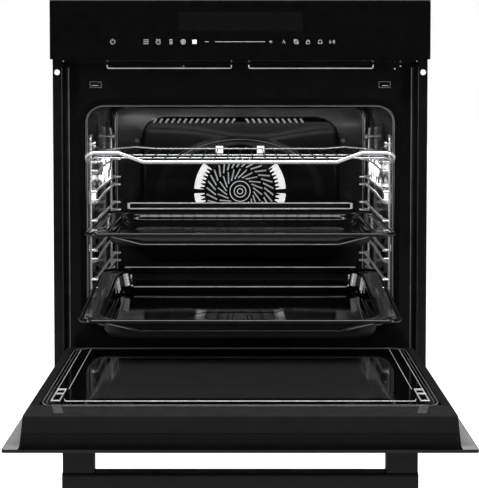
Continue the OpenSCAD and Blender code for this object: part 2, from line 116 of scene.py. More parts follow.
def ramp(tree, source, stops):
    node = add(tree, "ShaderNodeValToRGB")
    while len(node.color_ramp.elements) < len(stops):
        node.color_ramp.elements.new(0.5)
    for element, (pos, value) in zip(node.color_ramp.elements, stops):
        element.position = pos
        shade = (value,) * 3 if isinstance(value, (int, float)) else value
        element.color = (*shade, 1)
    tree.links.new(source, node.inputs["Fac"])
    return node


def math_node(tree, kind, *values):
    """A maths node whose inputs are numbers or the outputs of other nodes."""
    node = add(tree, "ShaderNodeMath", operation=kind)
    for slot, value in zip(node.inputs, values):
        if isinstance(value, (int, float)):
            slot.default_value = value
        else:
            tree.links.new(value, slot)
    return node.outputs[0]


def object_axes(tree):
    """The X, Y and Z of a point in the piece's own frame."""
    axes = add(tree, "ShaderNodeSeparateXYZ")
    tree.links.new(add(tree, "ShaderNodeTexCoord").outputs["Object"], axes.inputs[0])
    return axes.outputs


def surface(name, dark, light, rough, metal=0.0, scale=60, bump=0.02, bump_scale=300,
            spec=0.5, glow=0.0):
    """Blotched colour, uneven gloss and a fine bump: the base of every opaque finish."""
    mat, tree, shader = new_material(name)
    blotch = noise(tree, scale, 4)
    colour = ramp(tree, blotch.outputs["Fac"], [(0.3, dark), (0.7, light)]).outputs["Color"]
    tree.links.new(colour, shader.inputs["Base Color"])
    # glow: the finish gives light of its own, painted light for the highlight wires and the chrome's sheen
    if glow:
        tree.links.new(colour, shader.inputs["Emission Color"])
        shader.inputs["Emission Strength"].default_value = glow
    smear = noise(tree, scale * 0.4, 5, 0.65)
    tree.links.new(ramp(tree, smear.outputs["Fac"],
                        [(0.3, rough[0]), (0.75, rough[1])]).outputs["Color"],
                   shader.inputs["Roughness"])
    if bump:
        fine = noise(tree, bump_scale, 2)
        knob = add(tree, "ShaderNodeBump", Strength=bump, Distance=0.001)
        tree.links.new(fine.outputs["Fac"], knob.inputs["Height"])
        tree.links.new(knob.outputs["Normal"], shader.inputs["Normal"])
    shader.inputs["Metallic"].default_value = metal
    shader.inputs["Specular IOR Level"].default_value = spec
    return mat


def glowing(name, colour, strength, scale):
    """A pale finish that gives a little light of its own, as a bright reflection does."""
    mat, tree, shader = new_material(name)
    ripple = noise(tree, scale, 2)
    pale = tuple(channel * 0.85 for channel in colour)
    tree.links.new(ramp(tree, ripple.outputs["Fac"],
                        [(0.3, pale), (0.7, colour)]).outputs["Color"],
                   shader.inputs["Emission Color"])
    shader.inputs["Emission Strength"].default_value = strength
    shader.inputs["Base Color"].default_value = (*colour, 1)
    return mat


# name: darker colour, lighter colour, lowest and highest roughness, other settings
FINISHES = {
    "black_enamel": ((0.003, 0.003, 0.0032), (0.005, 0.005, 0.0055), (0.2, 0.3), dict(spec=0.22)),
    "cavity_enamel": ((0.008, 0.008, 0.0084), (0.014, 0.014, 0.0146), (0.1, 0.19),
                      dict(bump=0.04, spec=0.7)),
    "tray_enamel": ((0.004, 0.004, 0.0045), (0.009, 0.009, 0.0095), (0.05, 0.1),
                    dict(bump=0.03, spec=0.55)),
    "mineral_wool": ((0.5, 0.44, 0.3), (0.75, 0.7, 0.55), (0.8, 0.95),
                     dict(bump=0.6, bump_scale=120)),
    "galvanised_steel": ((0.4, 0.41, 0.42), (0.55, 0.56, 0.57), (0.3, 0.5), dict(metal=1.0)),
    "black_glass": ((0.0015, 0.0015, 0.0017), (0.0025, 0.0025, 0.0028), (0.03, 0.06),
                    dict(bump=0, spec=0.36)),
    "dark_trim": ((0.05, 0.05, 0.052), (0.09, 0.09, 0.092), (0.3, 0.4), dict(metal=0.6)),
    "black_plastic": ((0.011, 0.011, 0.0115), (0.016, 0.016, 0.017), (0.42, 0.55),
                      dict(bump=0.08, bump_scale=900, spec=0.12)),
    "display_plastic": ((0.004, 0.0045, 0.0045), (0.006, 0.0065, 0.0065), (0.1, 0.15), {}),
    "circuit_board": ((0.01, 0.12, 0.06), (0.02, 0.2, 0.1), (0.3, 0.45), {}),
    "steel_screw": ((0.5, 0.5, 0.51), (0.7, 0.7, 0.71), (0.2, 0.35), dict(metal=1.0)),
    "element_steel": ((0.08, 0.07, 0.065), (0.16, 0.15, 0.14), (0.35, 0.55), dict(metal=0.9)),
    "motor_steel": ((0.4, 0.41, 0.42), (0.6, 0.61, 0.62), (0.25, 0.4), dict(metal=1.0)),
    # chrome_wire: real chrome, with a small glow that paints a sheen on it
    "chrome_wire": ((0.75, 0.76, 0.78), (0.9, 0.91, 0.93), (0.14, 0.24),
                    dict(metal=0.75, spec=1.0, glow=0.1)),
    "lamp_frame": ((0.5, 0.51, 0.52), (0.65, 0.66, 0.67), (0.25, 0.4), dict(metal=1.0)),
    "gasket_rubber": ((0.001, 0.001, 0.001), (0.002, 0.002, 0.002), (0.6, 0.8),
                      dict(bump=0.4, spec=0.05)),
    "pale_plastic": ((0.7, 0.68, 0.6), (0.8, 0.78, 0.7), (0.4, 0.55), {}),
    "clip_plastic": ((0.07, 0.07, 0.072), (0.1, 0.1, 0.103), (0.3, 0.45), {}),
    "handle_black": ((0.002, 0.002, 0.0023), (0.004, 0.004, 0.0043), (0.35, 0.45),
                     dict(spec=0.23)),
    "clear_glass": ((0.02, 0.022, 0.024), (0.03, 0.032, 0.034), (0.03, 0.06), dict(bump=0)),
    # a near-black copy of the chrome for the shelf's thin rods: painted shade
    "shaded_chrome_wire": ((0.006, 0.006, 0.0062), (0.01, 0.01, 0.0103), (0.35, 0.5), dict(spec=0.2)),
    # painted highlight: a dim grey strip laid along an edge
    "dim_painted_highlight": ((0.02, 0.02, 0.0205), (0.035, 0.035, 0.036), (0.3, 0.45),
                 dict(metal=0.2, spec=0.5)),
    "display_window": ((0.0033, 0.0033, 0.0035), (0.0045, 0.0045, 0.0048), (0.03, 0.06),
                       dict(bump=0, spec=0.36)),
    "cover_enamel": ((0.005, 0.005, 0.0053), (0.008, 0.008, 0.0084), (0.2, 0.3),
                     dict(bump=0.04, spec=0.15)),
    # painted highlights: glowing wires laid along edges, bright and pale
    "bright_painted_highlight": ((0.5, 0.5, 0.51), (0.75, 0.75, 0.77), (0.2, 0.35),
                    dict(metal=0.4, spec=1.0, glow=0.35)),
    "pale_painted_highlight": ((0.12, 0.12, 0.123), (0.2, 0.2, 0.205), (0.25, 0.4),
                  dict(metal=0.3, spec=0.8, glow=0.4)),
    "pan_underside": ((0.009, 0.009, 0.009), (0.013, 0.013, 0.013), (0.4, 0.6), dict(spec=0.3)),
    "painted_glass_reflection": ((0.34, 0.34, 0.343), (0.42, 0.42, 0.423), (0.06, 0.12), dict(spec=0.8)),
}
# name: colour, strength of its light, scale of its ripple
GLOWS = {
    # white_ceramic glows: a painted highlight
    "white_ceramic": ((0.95, 0.95, 0.95), 0.85, 90),
    # painted reflection of the side lamps in the fan grille's dished rim
    "polished_ring": ((0.95, 0.95, 0.96), 0.7, 90),
    "key_print": ((0.85, 0.87, 0.9), 0.42, 400),
    "slot_glint": ((0.9, 0.9, 0.92), 0.13, 200),
    "hub_glint": ((0.9, 0.9, 0.92), 0.3, 60),
}
MAT = {name: surface(name, dark, light, rough, **more)
       for name, (dark, light, rough, more) in FINISHES.items()}
for name, (colour, strength, scale) in GLOWS.items():
    MAT[name] = glowing(name, colour, strength, scale)


def lamp_glass():
    """Patterned lamp cover: the filament shows through in bright patches."""
    mat, tree, shader = new_material("lamp_glass")
    patches = noise(tree, 34, 2)
    tree.links.new(ramp(tree, patches.outputs["Fac"],
                        [(0.5, (0.02, 0.02, 0.02)), (0.56, (1, 1, 1))]).outputs["Color"],
                   shader.inputs["Emission Color"])
    shader.inputs["Emission Strength"].default_value = 4.5
    shader.inputs["Base Color"].default_value = (0.1, 0.1, 0.1, 1)
    return mat


MAT["lamp_glass"] = lamp_glass()

# the printed window in the open door: its half width, its middle, its half length, its dots
WINDOW_HALF = 198 * MM
WINDOW_MIDDLE, WINDOW_REACH = -256.5 * MM, 127 * MM
DOT_PITCH = {"X": 3.7 * MM, "Y": 2.2 * MM}


def window_glass():
    """Dark printed glass. Inside the window a grid of fine dots lets grey through."""
    mat, tree, shader = new_material("tinted_glass")
    axes = object_axes(tree)
    waves = []
    for axis, pitch in DOT_PITCH.items():
        waves.append(math_node(tree, "SINE",
                               math_node(tree, "MULTIPLY", axes[axis], 2 * math.pi / pitch)))
    dots = math_node(tree, "GREATER_THAN", math_node(tree, "MULTIPLY", *waves), 0.1)
    across = math_node(tree, "ABSOLUTE", axes["X"])
    along = math_node(tree, "ABSOLUTE", math_node(tree, "SUBTRACT", axes["Y"], WINDOW_MIDDLE))
    inside = math_node(tree, "MULTIPLY", math_node(tree, "LESS_THAN", across, WINDOW_HALF),
                       math_node(tree, "LESS_THAN", along, WINDOW_REACH))
    mask = math_node(tree, "MULTIPLY", inside, dots)
    tree.links.new(ramp(tree, mask, [(0.0, (0.002, 0.002, 0.0022)),
                                     (1.0, (0.05, 0.051, 0.053))]).outputs["Color"],
                   shader.inputs["Base Color"])
    smear = noise(tree, 14, 6, 0.7)
    tree.links.new(ramp(tree, smear.outputs["Fac"], [(0.35, 0.04), (0.75, 0.1)]).outputs["Color"],
                   shader.inputs["Roughness"])
    return mat


MAT["tinted_glass"] = window_glass()

SLOT_OF = {part["node"]: part["material_slot"] for part in frame["record"]["subparts"]}
for name, obj in NODES.items():
    for slot in obj.material_slots:
        slot.material = MAT[SLOT_OF[name]]


def dress(obj, body, slot, replaces=()):
    """Links a new object, gives it its finish and makes it ride on a body."""
    if obj.name not in bpy.context.scene.collection.objects:
        bpy.context.scene.collection.objects.link(obj)
    obj.data.materials.clear()
    obj.data.materials.append(MAT[slot])
    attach(obj, body)
    if replaces:
        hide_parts(*replaces)
    return obj


def piece(name, bm, body, slot, replaces=(), smooth=True, bevel=0.0, sheet=0.0):
    """Turns a bmesh into a piece of the object that rides on a body."""
    bmesh.ops.recalc_face_normals(bm, faces=bm.faces)
    mesh = bpy.data.meshes.new(name)
    bm.to_mesh(mesh)
    bm.free()
    for face in mesh.polygons:
        face.use_smooth = smooth
    obj = dress(bpy.data.objects.new(name, mesh), body, slot, replaces)
    if sheet:
        thick = obj.modifiers.new("sheet", "SOLIDIFY")
        thick.thickness = sheet
        thick.offset = 1
    if bevel:
        soften(obj, bevel)
    return obj


def soften(obj, width, segments=3):
    """Rounds the sharp edges of a hard part, so that they catch the light."""
    edge = obj.modifiers.new("edge", "BEVEL")
    edge.width = width
    edge.segments = segments
    edge.limit_method = "ANGLE"
    edge.angle_limit = math.radians(40)
    edge.harden_normals = True
    for face in obj.data.polygons:
        face.use_smooth = True


def box_into(bm, low, high):
    """Adds a box between two corners."""
    centre = (Vector(low) + Vector(high)) / 2
    size = Vector(high) - Vector(low)
    place = Matrix.Translation(centre) @ Matrix.Diagonal((*size, 1))
    bmesh.ops.create_cube(bm, size=1, matrix=place)


def fillet_path(points, radius, steps=6):
    """A list of points with its corners rounded to arcs."""
    points = [Vector(p) for p in points]
    path = [points[0]]
    for before, corner, after in zip(points, points[1:], points[2:]):
        to_before = (before - corner).normalized()
        to_after = (after - corner).normalized()
        half = to_before.angle(to_after) / 2
        if half > math.radians(89):
            path.append(corner)
            continue
        reach = min(radius / math.tan(half), (before - corner).length * 0.49,
                    (after - corner).length * 0.49)
        true_radius = reach * math.tan(half)
        centre = corner + (to_before + to_after).normalized() * (true_radius / math.sin(half))
        start = corner + to_before * reach - centre
        end = corner + to_after * reach - centre
        sweep = start.angle(end)
        for i in range(steps + 1):
            t = i / steps
            mix = (start * math.sin((1 - t) * sweep) + end * math.sin(t * sweep)) / math.sin(sweep)
            path.append(centre + mix)
    path.append(points[-1])
    return path


def wire_set(name, paths, radius, body, slot, replaces=()):
    """Round wires along several paths, as one curve object with capped ends."""
    curve = bpy.data.curves.new(name, "CURVE")
    curve.dimensions = "3D"
    curve.bevel_depth = 1.0
    curve.bevel_resolution = 3
    curve.use_fill_caps = True
    for entry in paths:
        path, thick = entry if isinstance(entry, tuple) else (entry, radius)
        line = curve.splines.new("POLY")
        line.points.add(len(path) - 1)
        for point, place in zip(line.points, path):
            point.co = (*place, 1)
            point.radius = thick
    return dress(bpy.data.objects.new(name, curve), body, slot, replaces)


def ring_points(half_w, low, high, radius, depth, per_corner=8):
    """Points around a rounded rectangle, counter-clockwise, with the given third coordinate."""
    radius = max(radius, 0.5 * MM)
    points = []
    corners = [(half_w - radius, low + radius, -90), (half_w - radius, high - radius, 0),
               (-half_w + radius, high - radius, 90), (-half_w + radius, low + radius, 180)]
    for cx, cy, start in corners:
        for i in range(per_corner + 1):
            angle = math.radians(start + 90 * i / per_corner)
            points.append((cx + radius * math.cos(angle), cy + radius * math.sin(angle), depth))
    return points


def loft(bm, rings, closed_end=False):
    """Skins a list of rings that have the same number of points."""
    made = [[bm.verts.new(p) for p in ring] for ring in rings]
    count = len(made[0])
    for low, high in zip(made, made[1:]):
        for i in range(count):
            j = (i + 1) % count
            bm.faces.new((low[i], low[j], high[j], high[i]))
    if closed_end:
        bm.faces.new(made[-1])
    return made


def smooth_step(low, high, value):
    """0 below the low value, 1 above the high one, and a smooth rise between them."""
    t = min(max((value - low) / (high - low), 0), 1)
    return t * t * (3 - 2 * t)


# ---------------------------------------------------------------- softened edges of CAD parts
SHARP_EDGE = 0.4 * MM
EDGE_WIDTH = {"handle": 1.5 * MM, "door_top_cap": 2.0 * MM, "front_frame": 0.5 * MM,
              "door_air_strip": 0.6 * MM}
for name in ("front_frame", "control_trim", "handle", "door_top_cap", "door_air_strip",
             "door_bottom_bar", "door_rail_left", "door_rail_right", "door_outer_glass",
             "control_glass", "glass_clips", "hinge_bracket_left", "hinge_bracket_right",
             "side_panel_left", "side_panel_right", "top_cover", "rear_cover", "shelf_stops",
             "terminal_block", "lamp_housing_left", "lamp_housing_right"):
    soften(NODES[name], EDGE_WIDTH.get(name, SHARP_EDGE))


def scaled_by_height(name, level, above, below):
    """The black plastic again, its colour scaled one way above a height and another below. On the door's cap this
    is painted light: its highest face lighter, the faces below it darker.
    """
    mat = MAT["black_plastic"].copy()
    mat.name = name
    tree = mat.node_tree
    base = tree.nodes["Principled BSDF"].inputs["Base Color"]
    source = base.links[0].from_socket
    high = math_node(tree, "GREATER_THAN", object_axes(tree)["Z"], level)
    factor = math_node(tree, "MULTIPLY_ADD", high, above - below, below)
    scaled = add(tree, "ShaderNodeVectorMath", operation="SCALE")
    tree.links.new(source, scaled.inputs[0])
    tree.links.new(factor, scaled.inputs["Scale"])
    tree.links.new(scaled.outputs[0], base)
    return mat


CAP_FACE = max(v.co.z for v in NODES["door_top_cap"].data.vertices) - 1.2 * MM
# painted light and shade on the door's cap: its highest face 1.7 times as light, the rest 0.6; the air strip
# evenly darker, at 0.35
for name, above, below in (("door_top_cap", 1.7, 0.6), ("door_air_strip", 0.35, 0.35)):
    NODES[name].data.materials[0] = scaled_by_height(name + "_plastic", CAP_FACE, above, below)

# ---------------------------------------------------------------- pans
PAN_HALF = 238 * MM
LEDGE = 1.2 * MM
PAN_EDGE = 1.9 * MM
PAN_CORNER = 22 * MM
TALL_LIP = 15
FLOOR_CROWN = ((30, 0.35), (60, 0.9), (100, 1.5), (150, 1.9))
# glints in the rear corners of the low pan: top x, top y, low x, low y, radius
CORNER_GLINTS = ((193.5, 29, 190, 31, 4.2), (203, 62, 200, 64, 1.2), (203, 82, 200, 84, 1.0))


def pan(name, body, node, length, depth, apron, upstand, place):
    """An enamelled pan: rolled edge, flat side ledges and a well with wide fillets."""
    bm = bmesh.new()
    rings = []
    for step in range(9):
        angle = math.radians(-120 + step * 300 / 8)
        inset = PAN_EDGE * (1 - math.cos(angle))
        lift = PAN_EDGE * (1 + math.sin(angle))
        rings.append(ring_points(PAN_HALF - inset, inset, length - inset, PAN_CORNER - inset,
                                 lift))
    rings.append(ring_points(PAN_HALF - 6 * MM, 6 * MM, length - 6 * MM, 16 * MM, LEDGE))
    lip, wall_low, fillet = 3.5 * MM, 15 * MM, 13 * MM
    half, front, back, corner = 206 * MM, 15 * MM, length - 15 * MM, 36 * MM
    for step in range(6):
        angle = math.radians(90 * step / 5)
        grow = lip * (1 - math.sin(angle))
        rings.append(ring_points(half + grow, front - grow, back + grow, corner + grow,
                                 LEDGE - lip * (1 - math.cos(angle))))
    for step in range(9):
        angle = math.radians(90 * step / 8)
        shrink = wall_low - fillet + fillet * (1 - math.cos(angle))
        floor = LEDGE - depth + fillet * (1 - math.sin(angle))
        rings.append(ring_points(half - shrink, front + shrink, back - shrink,
                                 corner - shrink * 0.6, floor))
    for shrink, crown in FLOOR_CROWN:
        rings.append(ring_points(half - shrink * MM, front + shrink * MM, back - shrink * MM,
                                 14 * MM, LEDGE - depth + crown * MM))
    loft(bm, rings, closed_end=True)
    bm.transform(place)
    obj = piece(name, bm, body, "tray_enamel", (node,), sheet=LEDGE)
    obj.data.materials.append(MAT["pan_underside"])
    obj.modifiers["sheet"].material_offset = 1
    grip(name + "_grip", body, apron, place)
    back_lip(name, body, length, upstand, place)
    pan_highlights(name, body, length, depth, upstand, place)


def back_lip(name, body, length, upstand, place):
    """The upright lip along a pan's rear edge."""
    rear = length - 8 * MM
    bm = bmesh.new()
    box_into(bm, (-198 * MM, rear, 0.5 * MM), (198 * MM, rear + 1 * MM, upstand * MM))
    bm.transform(place)
    piece(name + "_back_lip", bm, body, "tray_enamel", smooth=False)


def pan_highlights(name, body, length, depth, upstand, place):
    """Painted highlights, as glowing wires, along the rolled rim, along the edges of the rear lip and at its
    corners.
    """
    side, lift = PAN_HALF - 1.5 * MM, 2.5 * MM
    rim = fillet_path([(-side, length * 0.8, lift), (-side, 1.5 * MM, lift),
                       (side, 1.5 * MM, lift), (side, length * 0.8, lift)], 21 * MM, 8)
    paths = [(rim, 1.8 * MM)]
    rear = length - 8 * MM
    tall = upstand > TALL_LIP
    for z in (upstand - 11, upstand - 1) if tall else (upstand - 1,):
        thick = 1.1 * MM if tall else 0.7 * MM
        paths.append(([(-196 * MM, rear, z * MM), (196 * MM, rear, z * MM)], thick))
    if tall:
        for x in (-198, 198):
            paths.append(([(x * MM, rear, (upstand - 11) * MM),
                           (x * MM, rear, (upstand - 1) * MM)], 2.2 * MM))
    else:
        foot = LEDGE - depth + 10 * MM
        paths.append(([(-180 * MM, length - 26.5 * MM, foot),
                       (180 * MM, length - 26.5 * MM, foot)], 0.8 * MM))
        for hand in (-1, 1):
            for top_x, top_y, low_x, low_y, thick in CORNER_GLINTS:
                paths.append(([(hand * top_x * MM, length - top_y * MM, 2 * MM),
                               (hand * low_x * MM, length - low_y * MM, foot + 3 * MM)],
                              thick * MM))
    wire_set(name + "_rim", [([place @ Vector(p) for p in path], thick) for path, thick in paths],
             1 * MM, body, "bright_painted_highlight")


def grip(name, body, apron, place):
    """Sloped lip under a pan's front edge, with slanted ends."""
    bm = bmesh.new()
    profile = [(2.4 * MM, 0), (2.6 * MM, -apron * 0.35), (3.2 * MM, -apron * 0.75),
               (4.6 * MM, -apron)]
    grid = []
    flat = 151
    for x in (-190, -flat, -149, -75, 0, 75, 149, flat, 190):
        full = 1 if abs(x) <= flat else 0.06
        grid.append([bm.verts.new((x * MM, y, z * full)) for y, z in profile])
    for left, right in zip(grid, grid[1:]):
        for i in range(len(profile) - 1):
            bm.faces.new((left[i], right[i], right[i + 1], left[i + 1]))
    bm.transform(place)
    piece(name, bm, body, "tray_enamel", sheet=1.0 * MM, bevel=0.3 * MM)
    # a painted highlight along the grip's lower edge
    hem = fillet_path([(-196 * MM, 2 * MM, -1 * MM), (-150 * MM, 4.6 * MM, -apron),
                       (150 * MM, 4.6 * MM, -apron), (196 * MM, 2 * MM, -1 * MM)], 30 * MM)
    wire_set(name + "_hem", [[place @ Vector(p) for p in hem]], 0.7 * MM, body, "pale_painted_highlight")


JOINT = {joint["name"]: joint for joint in frame["joints"]}
DEEP_TILT = math.radians(JOINT["deep_tray_slide"]["range_deg"][1])
SHALLOW_PLACE = Matrix.Translation((0, -98 * MM, 232.8 * MM))
DEEP_PLACE = Matrix.Translation((0, -180 * MM, 114 * MM)) @ Matrix.Rotation(DEEP_TILT, 4, "X")
pan("shallow_pan", "shallow_tray", "shallow_tray", 375 * MM, 19 * MM, 13 * MM, 20, SHALLOW_PLACE)
pan("deep_pan", "deep_tray", "deep_tray", 350 * MM, 32 * MM, 12.5 * MM, 10, DEEP_PLACE)

# ---------------------------------------------------------------- cavity liner
CAVITY_HALF = 243.5 * MM
CAVITY_LOW, CAVITY_HIGH = 77 * MM, 427 * MM
CAVITY_BACK = 440 * MM
CAVITY_CORNER = 25 * MM
PRESSED_DEPTH = 3.2 * MM
PRESSED_FIELDS = ((56, 188), (206, 404))
FAN = Vector((0, 418 * MM, 262 * MM))


def tunnel_ring(grow, y, radius, press=0.0):
    """Points around the cavity at one depth. Its sides bulge outwards where they are pressed."""
    half, low, high = CAVITY_HALF + grow, CAVITY_LOW - grow, CAVITY_HIGH + grow
    ring = []
    corner = ring_points(half, low, high, radius, 0, 6)
    count = len(corner)
    for i, (x, z, _) in enumerate(corner):
        ring.append(Vector((x, y, z)))
        nx, nz, _ = corner[(i + 1) % count]
        if abs(nx - x) + abs(nz - z) > 60 * MM:
            for step in range(1, 24):
                t = step / 24
                px, pz = x + (nx - x) * t, z + (nz - z) * t
                if abs(x - nx) < 1 * MM and press:
                    rise = smooth_step(112 * MM, 124 * MM, pz)
                    fall = 1 - smooth_step(384 * MM, 396 * MM, pz)
                    px += math.copysign(press * (rise * fall), px)
                ring.append(Vector((px, y, pz)))
    return ring


def cavity_liner():
    """The enamelled tunnel with its flared mouth, pressed side fields and rounded rear corners."""
    bm = bmesh.new()
    rings = [tunnel_ring(5.0 * MM, 25.8 * MM, 30 * MM),
             tunnel_ring(4.6 * MM, 25.0 * MM, 29.6 * MM),
             tunnel_ring(2.0 * MM, 24.8 * MM, 27 * MM),
             tunnel_ring(0.6 * MM, 25.2 * MM, 25.6 * MM), tunnel_ring(0, 26.4 * MM, 25 * MM)]
    depth = 34 * MM
    while depth < 426 * MM:
        press = 0
        for start, end in PRESSED_FIELDS:
            press = max(press, smooth_step(start * MM, (start + 9) * MM, depth)
                        * (1 - smooth_step((end - 9) * MM, end * MM, depth)))
        rings.append(tunnel_ring(0, depth, CAVITY_CORNER, press * PRESSED_DEPTH))
        depth += 5 * MM
    for step in range(7):
        angle = math.radians(90 * step / 6)
        radius = 12 * MM
        rings.append(tunnel_ring(-radius * (1 - math.cos(angle)),
                                 CAVITY_BACK - radius * (1 - math.sin(angle)),
                                 CAVITY_CORNER - radius * 0.6 * (1 - math.cos(angle))))
    loft(bm, rings, closed_end=True)
    piece("cavity_liner", bm, "root", "cavity_enamel", ("cavity",))


cavity_liner()

# ---------------------------------------------------------------- fan cover
COVER_HALF = 187.5 * MM
COVER_LOW, COVER_HIGH = 126 * MM, 401 * MM
COVER_FACE = 418 * MM
COVER_CORNER = 42 * MM
GRILLE_RISE = 9.5 * MM
GRILLE_RINGS = ((33, 22, 2.5), (54, 32, 2.9))


def crease_height(u):
    """Height of the crease over the fan's axis, in millimetres, at one distance from it."""
    return 118 - 19 * math.exp(-((u - 25) / 95) ** 2)


def cover_relief(x, z):
    """How far the fan cover's face stands out, in metres, at one point."""
    u, w = x / MM, (z - FAN.z) / MM
    r = math.hypot(u, w)
    rise = 2.0 * (1 - smooth_step(0.9, 1.06, math.hypot(u / 152, w / 98)))
    shoulder = math.hypot((abs(u) - 118) / 36, (w + 16) / 32)
    rise += 1.6 * (1 - smooth_step(0.5, 1.4, shoulder))
    crease = crease_height(u)
    rise -= 1.1 * smooth_step(crease - 9, crease + 9, w)
    dome = min(max((88 - r) / 22, 0), 1)
    rise = rise * (1 - dome) + (GRILLE_RISE / MM) * dome
    for ring in (12, 21):
        rise += 1.2 * math.exp(-((r - ring) / 1.6) ** 2)
    edge = min(COVER_HALF / MM - abs(u), 139 - w, w + 136)
    rise -= 5 * (1 - smooth_step(0, 9, edge))
    return rise * MM


def slot_cutters():
    """Prisms through the fan cover: the two slanted rows, the lower row and the spiral grille."""
    bm = bmesh.new()

    def prism(x, z, turn, wide, tall):
        place = (Matrix.Translation((x, COVER_FACE, z)) @ Matrix.Rotation(turn, 4, "Y")
                 @ Matrix.Diagonal((wide, 40 * MM, tall, 1)))
        bmesh.ops.create_cube(bm, size=1, matrix=place)

    for start, count, lean in ((-160, 14, 35), (14, 10, -35)):
        for i in range(count):
            prism((start + i * 11.35) * MM, 394 * MM, math.radians(lean), 4.2 * MM, 10 * MM)
    for i in range(18):
        prism((-102 + i * 12) * MM, 134 * MM, 0, 3 * MM, 9 * MM)
    for ring, (radius, count, wide) in enumerate(GRILLE_RINGS):
        for i in range(count):
            angle = 2 * math.pi * i / count + ring * 0.2
            place = (Matrix.Translation((0, COVER_FACE, FAN.z)) @ Matrix.Rotation(angle, 4, "Y")
                     @ Matrix.Translation((radius * MM, 0, 0))
                     @ Matrix.Rotation(math.radians(38), 4, "Y")
                     @ Matrix.Diagonal((22 * MM, 60 * MM, wide * MM, 1)))
            bmesh.ops.create_cube(bm, size=1, matrix=place)
    mesh = bpy.data.meshes.new("slot_cutters")
    bm.to_mesh(mesh)
    bm.free()
    cutter = bpy.data.objects.new("slot_cutters", mesh)
    bpy.context.scene.collection.objects.link(cutter)
    return cutter


def cover_blank():
    """The pressed face of the fan cover with rounded corners and a skirt, before it is slotted."""
    bm = bmesh.new()
    columns, rows = 150, 110
    grid = {}
    for i in range(columns + 1):
        for j in range(rows + 1):
            x = -COVER_HALF + 2 * COVER_HALF * i / columns
            z = COVER_LOW + (COVER_HIGH - COVER_LOW) * j / rows
            grid[i, j] = bm.verts.new((x, COVER_FACE - cover_relief(x, z), z))
    for i in range(columns):
        for j in range(rows):
            bm.faces.new((grid[i, j], grid[i + 1, j], grid[i + 1, j + 1], grid[i, j + 1]))
    middle, half_high = (COVER_LOW + COVER_HIGH) / 2, (COVER_HIGH - COVER_LOW) / 2
    outside = []
    for vert in bm.verts:
        dx = max(abs(vert.co.x) - (COVER_HALF - COVER_CORNER), 0)
        dz = max(abs(vert.co.z - middle) - (half_high - COVER_CORNER), 0)
        if math.hypot(dx, dz) > COVER_CORNER + 0.5 * MM:
            outside.append(vert)
    bmesh.ops.delete(bm, geom=outside, context="VERTS")
    # the skirt: the open edge is drawn back to the cavity's rear wall, in two rounded steps
    for drop in (3 * MM, 18 * MM):
        edges = [e for e in bm.edges if e.is_boundary]
        made = bmesh.ops.extrude_edge_only(bm, edges=edges)["geom"]
        for vert in (g for g in made if isinstance(g, bmesh.types.BMVert)):
            vert.co.y += drop
    bmesh.ops.recalc_face_normals(bm, faces=bm.faces)
    mesh = bpy.data.meshes.new("fan_cover_blank")
    bm.to_mesh(mesh)
    bm.free()
    blank = bpy.data.objects.new("fan_cover_blank", mesh)
    bpy.context.scene.collection.objects.link(blank)
    thick = blank.modifiers.new("sheet", "SOLIDIFY")
    thick.thickness = 1.2 * MM
    return blank


def fan_cover():
    """Cuts the slots through the blank and keeps the result as one mesh."""
    blank, cutter = cover_blank(), slot_cutters()
    cut = blank.modifiers.new("slots", "BOOLEAN")
    cut.operation = "DIFFERENCE"
    cut.solver = "EXACT"
    cut.object = cutter
    bpy.context.view_layer.update()
    graph = bpy.context.evaluated_depsgraph_get()
    done = bpy.data.meshes.new_from_object(blank.evaluated_get(graph))
    done.name = "fan_cover"
    bpy.data.objects.remove(blank)
    bpy.data.objects.remove(cutter)
    cover = bpy.data.objects.new("fan_cover", done)
    for face in done.polygons:
        face.use_smooth = True
    dress(cover, "root", "cavity_enamel", ("fan_baffle",))
    done.materials[0] = MAT["cover_enamel"]


def plates(name, slot, near, far, spans):
    """Thin upright plates behind the cover that glow, painted light that shows in its slots."""
    bm = bmesh.new()
    for left, right, low, high in spans:
        box_into(bm, (left * MM, near * MM, low * MM), (right * MM, far * MM, high * MM))
    piece(name, bm, "root", slot, smooth=False)


# the plate behind the grille has a square opening round the fan's nut
GRILLE_PLATES = ((-68, -13, 196, 328), (13, 68, 196, 328), (-13, 13, 196, 249),
                 (-13, 13, 275, 328))
fan_cover()
plates("slot_glow_plate", "slot_glint", 427, 427.5, ((-165, 122, 386, 398),))
plates("grille_glow_plate", "hub_glint", 422.6, 422.9, GRILLE_PLATES)


def on_cover(x, z, behind=0.0):
    """A point on the fan cover's face, or a little behind it."""
    return (x, COVER_FACE - cover_relief(x, z) + behind, z)


def round_fan(radius, degrees):
    """X and Z of a point round the fan's axis: its distance in millimetres, and its angle."""
    angle = math.radians(degrees)
    return radius * MM * math.cos(angle), FAN.z + radius * MM * math.sin(angle)


def grille_glints():
    """Painted reflections of the side lamps: glowing sectors at the left and right of the fan grille, with a
    toothed inner edge; and glints painted along the hub's rings.
    """
    bm = bmesh.new()
    for side in (0, 180):
        for low, high in ((3, 38), (-38, -3)):
            outer, inner = [], []
            steps = 24
            for i in range(steps + 1):
                tooth = 67 if i % 4 < 2 else 75
                for ring, r in ((outer, 86), (inner, tooth)):
                    x, z = round_fan(r, side + low + (high - low) * i / steps)
                    ring.append(bm.verts.new(on_cover(x, z, -1 * MM)))
            for i in range(steps):
                bm.faces.new((outer[i], outer[i + 1], inner[i + 1], inner[i]))
    piece("grille_glints", bm, "root", "polished_ring", smooth=False)
    rings = []
    for r in (5, 11, 19):
        turn = [round_fan(r, 9 * i) for i in range(41)]
        rings.append([(x, COVER_FACE - GRILLE_RISE - 0.8 * MM, z) for x, z in turn])
    wire_set("hub_rings", rings, 0.9 * MM, "root", "hub_glint")


grille_glints()


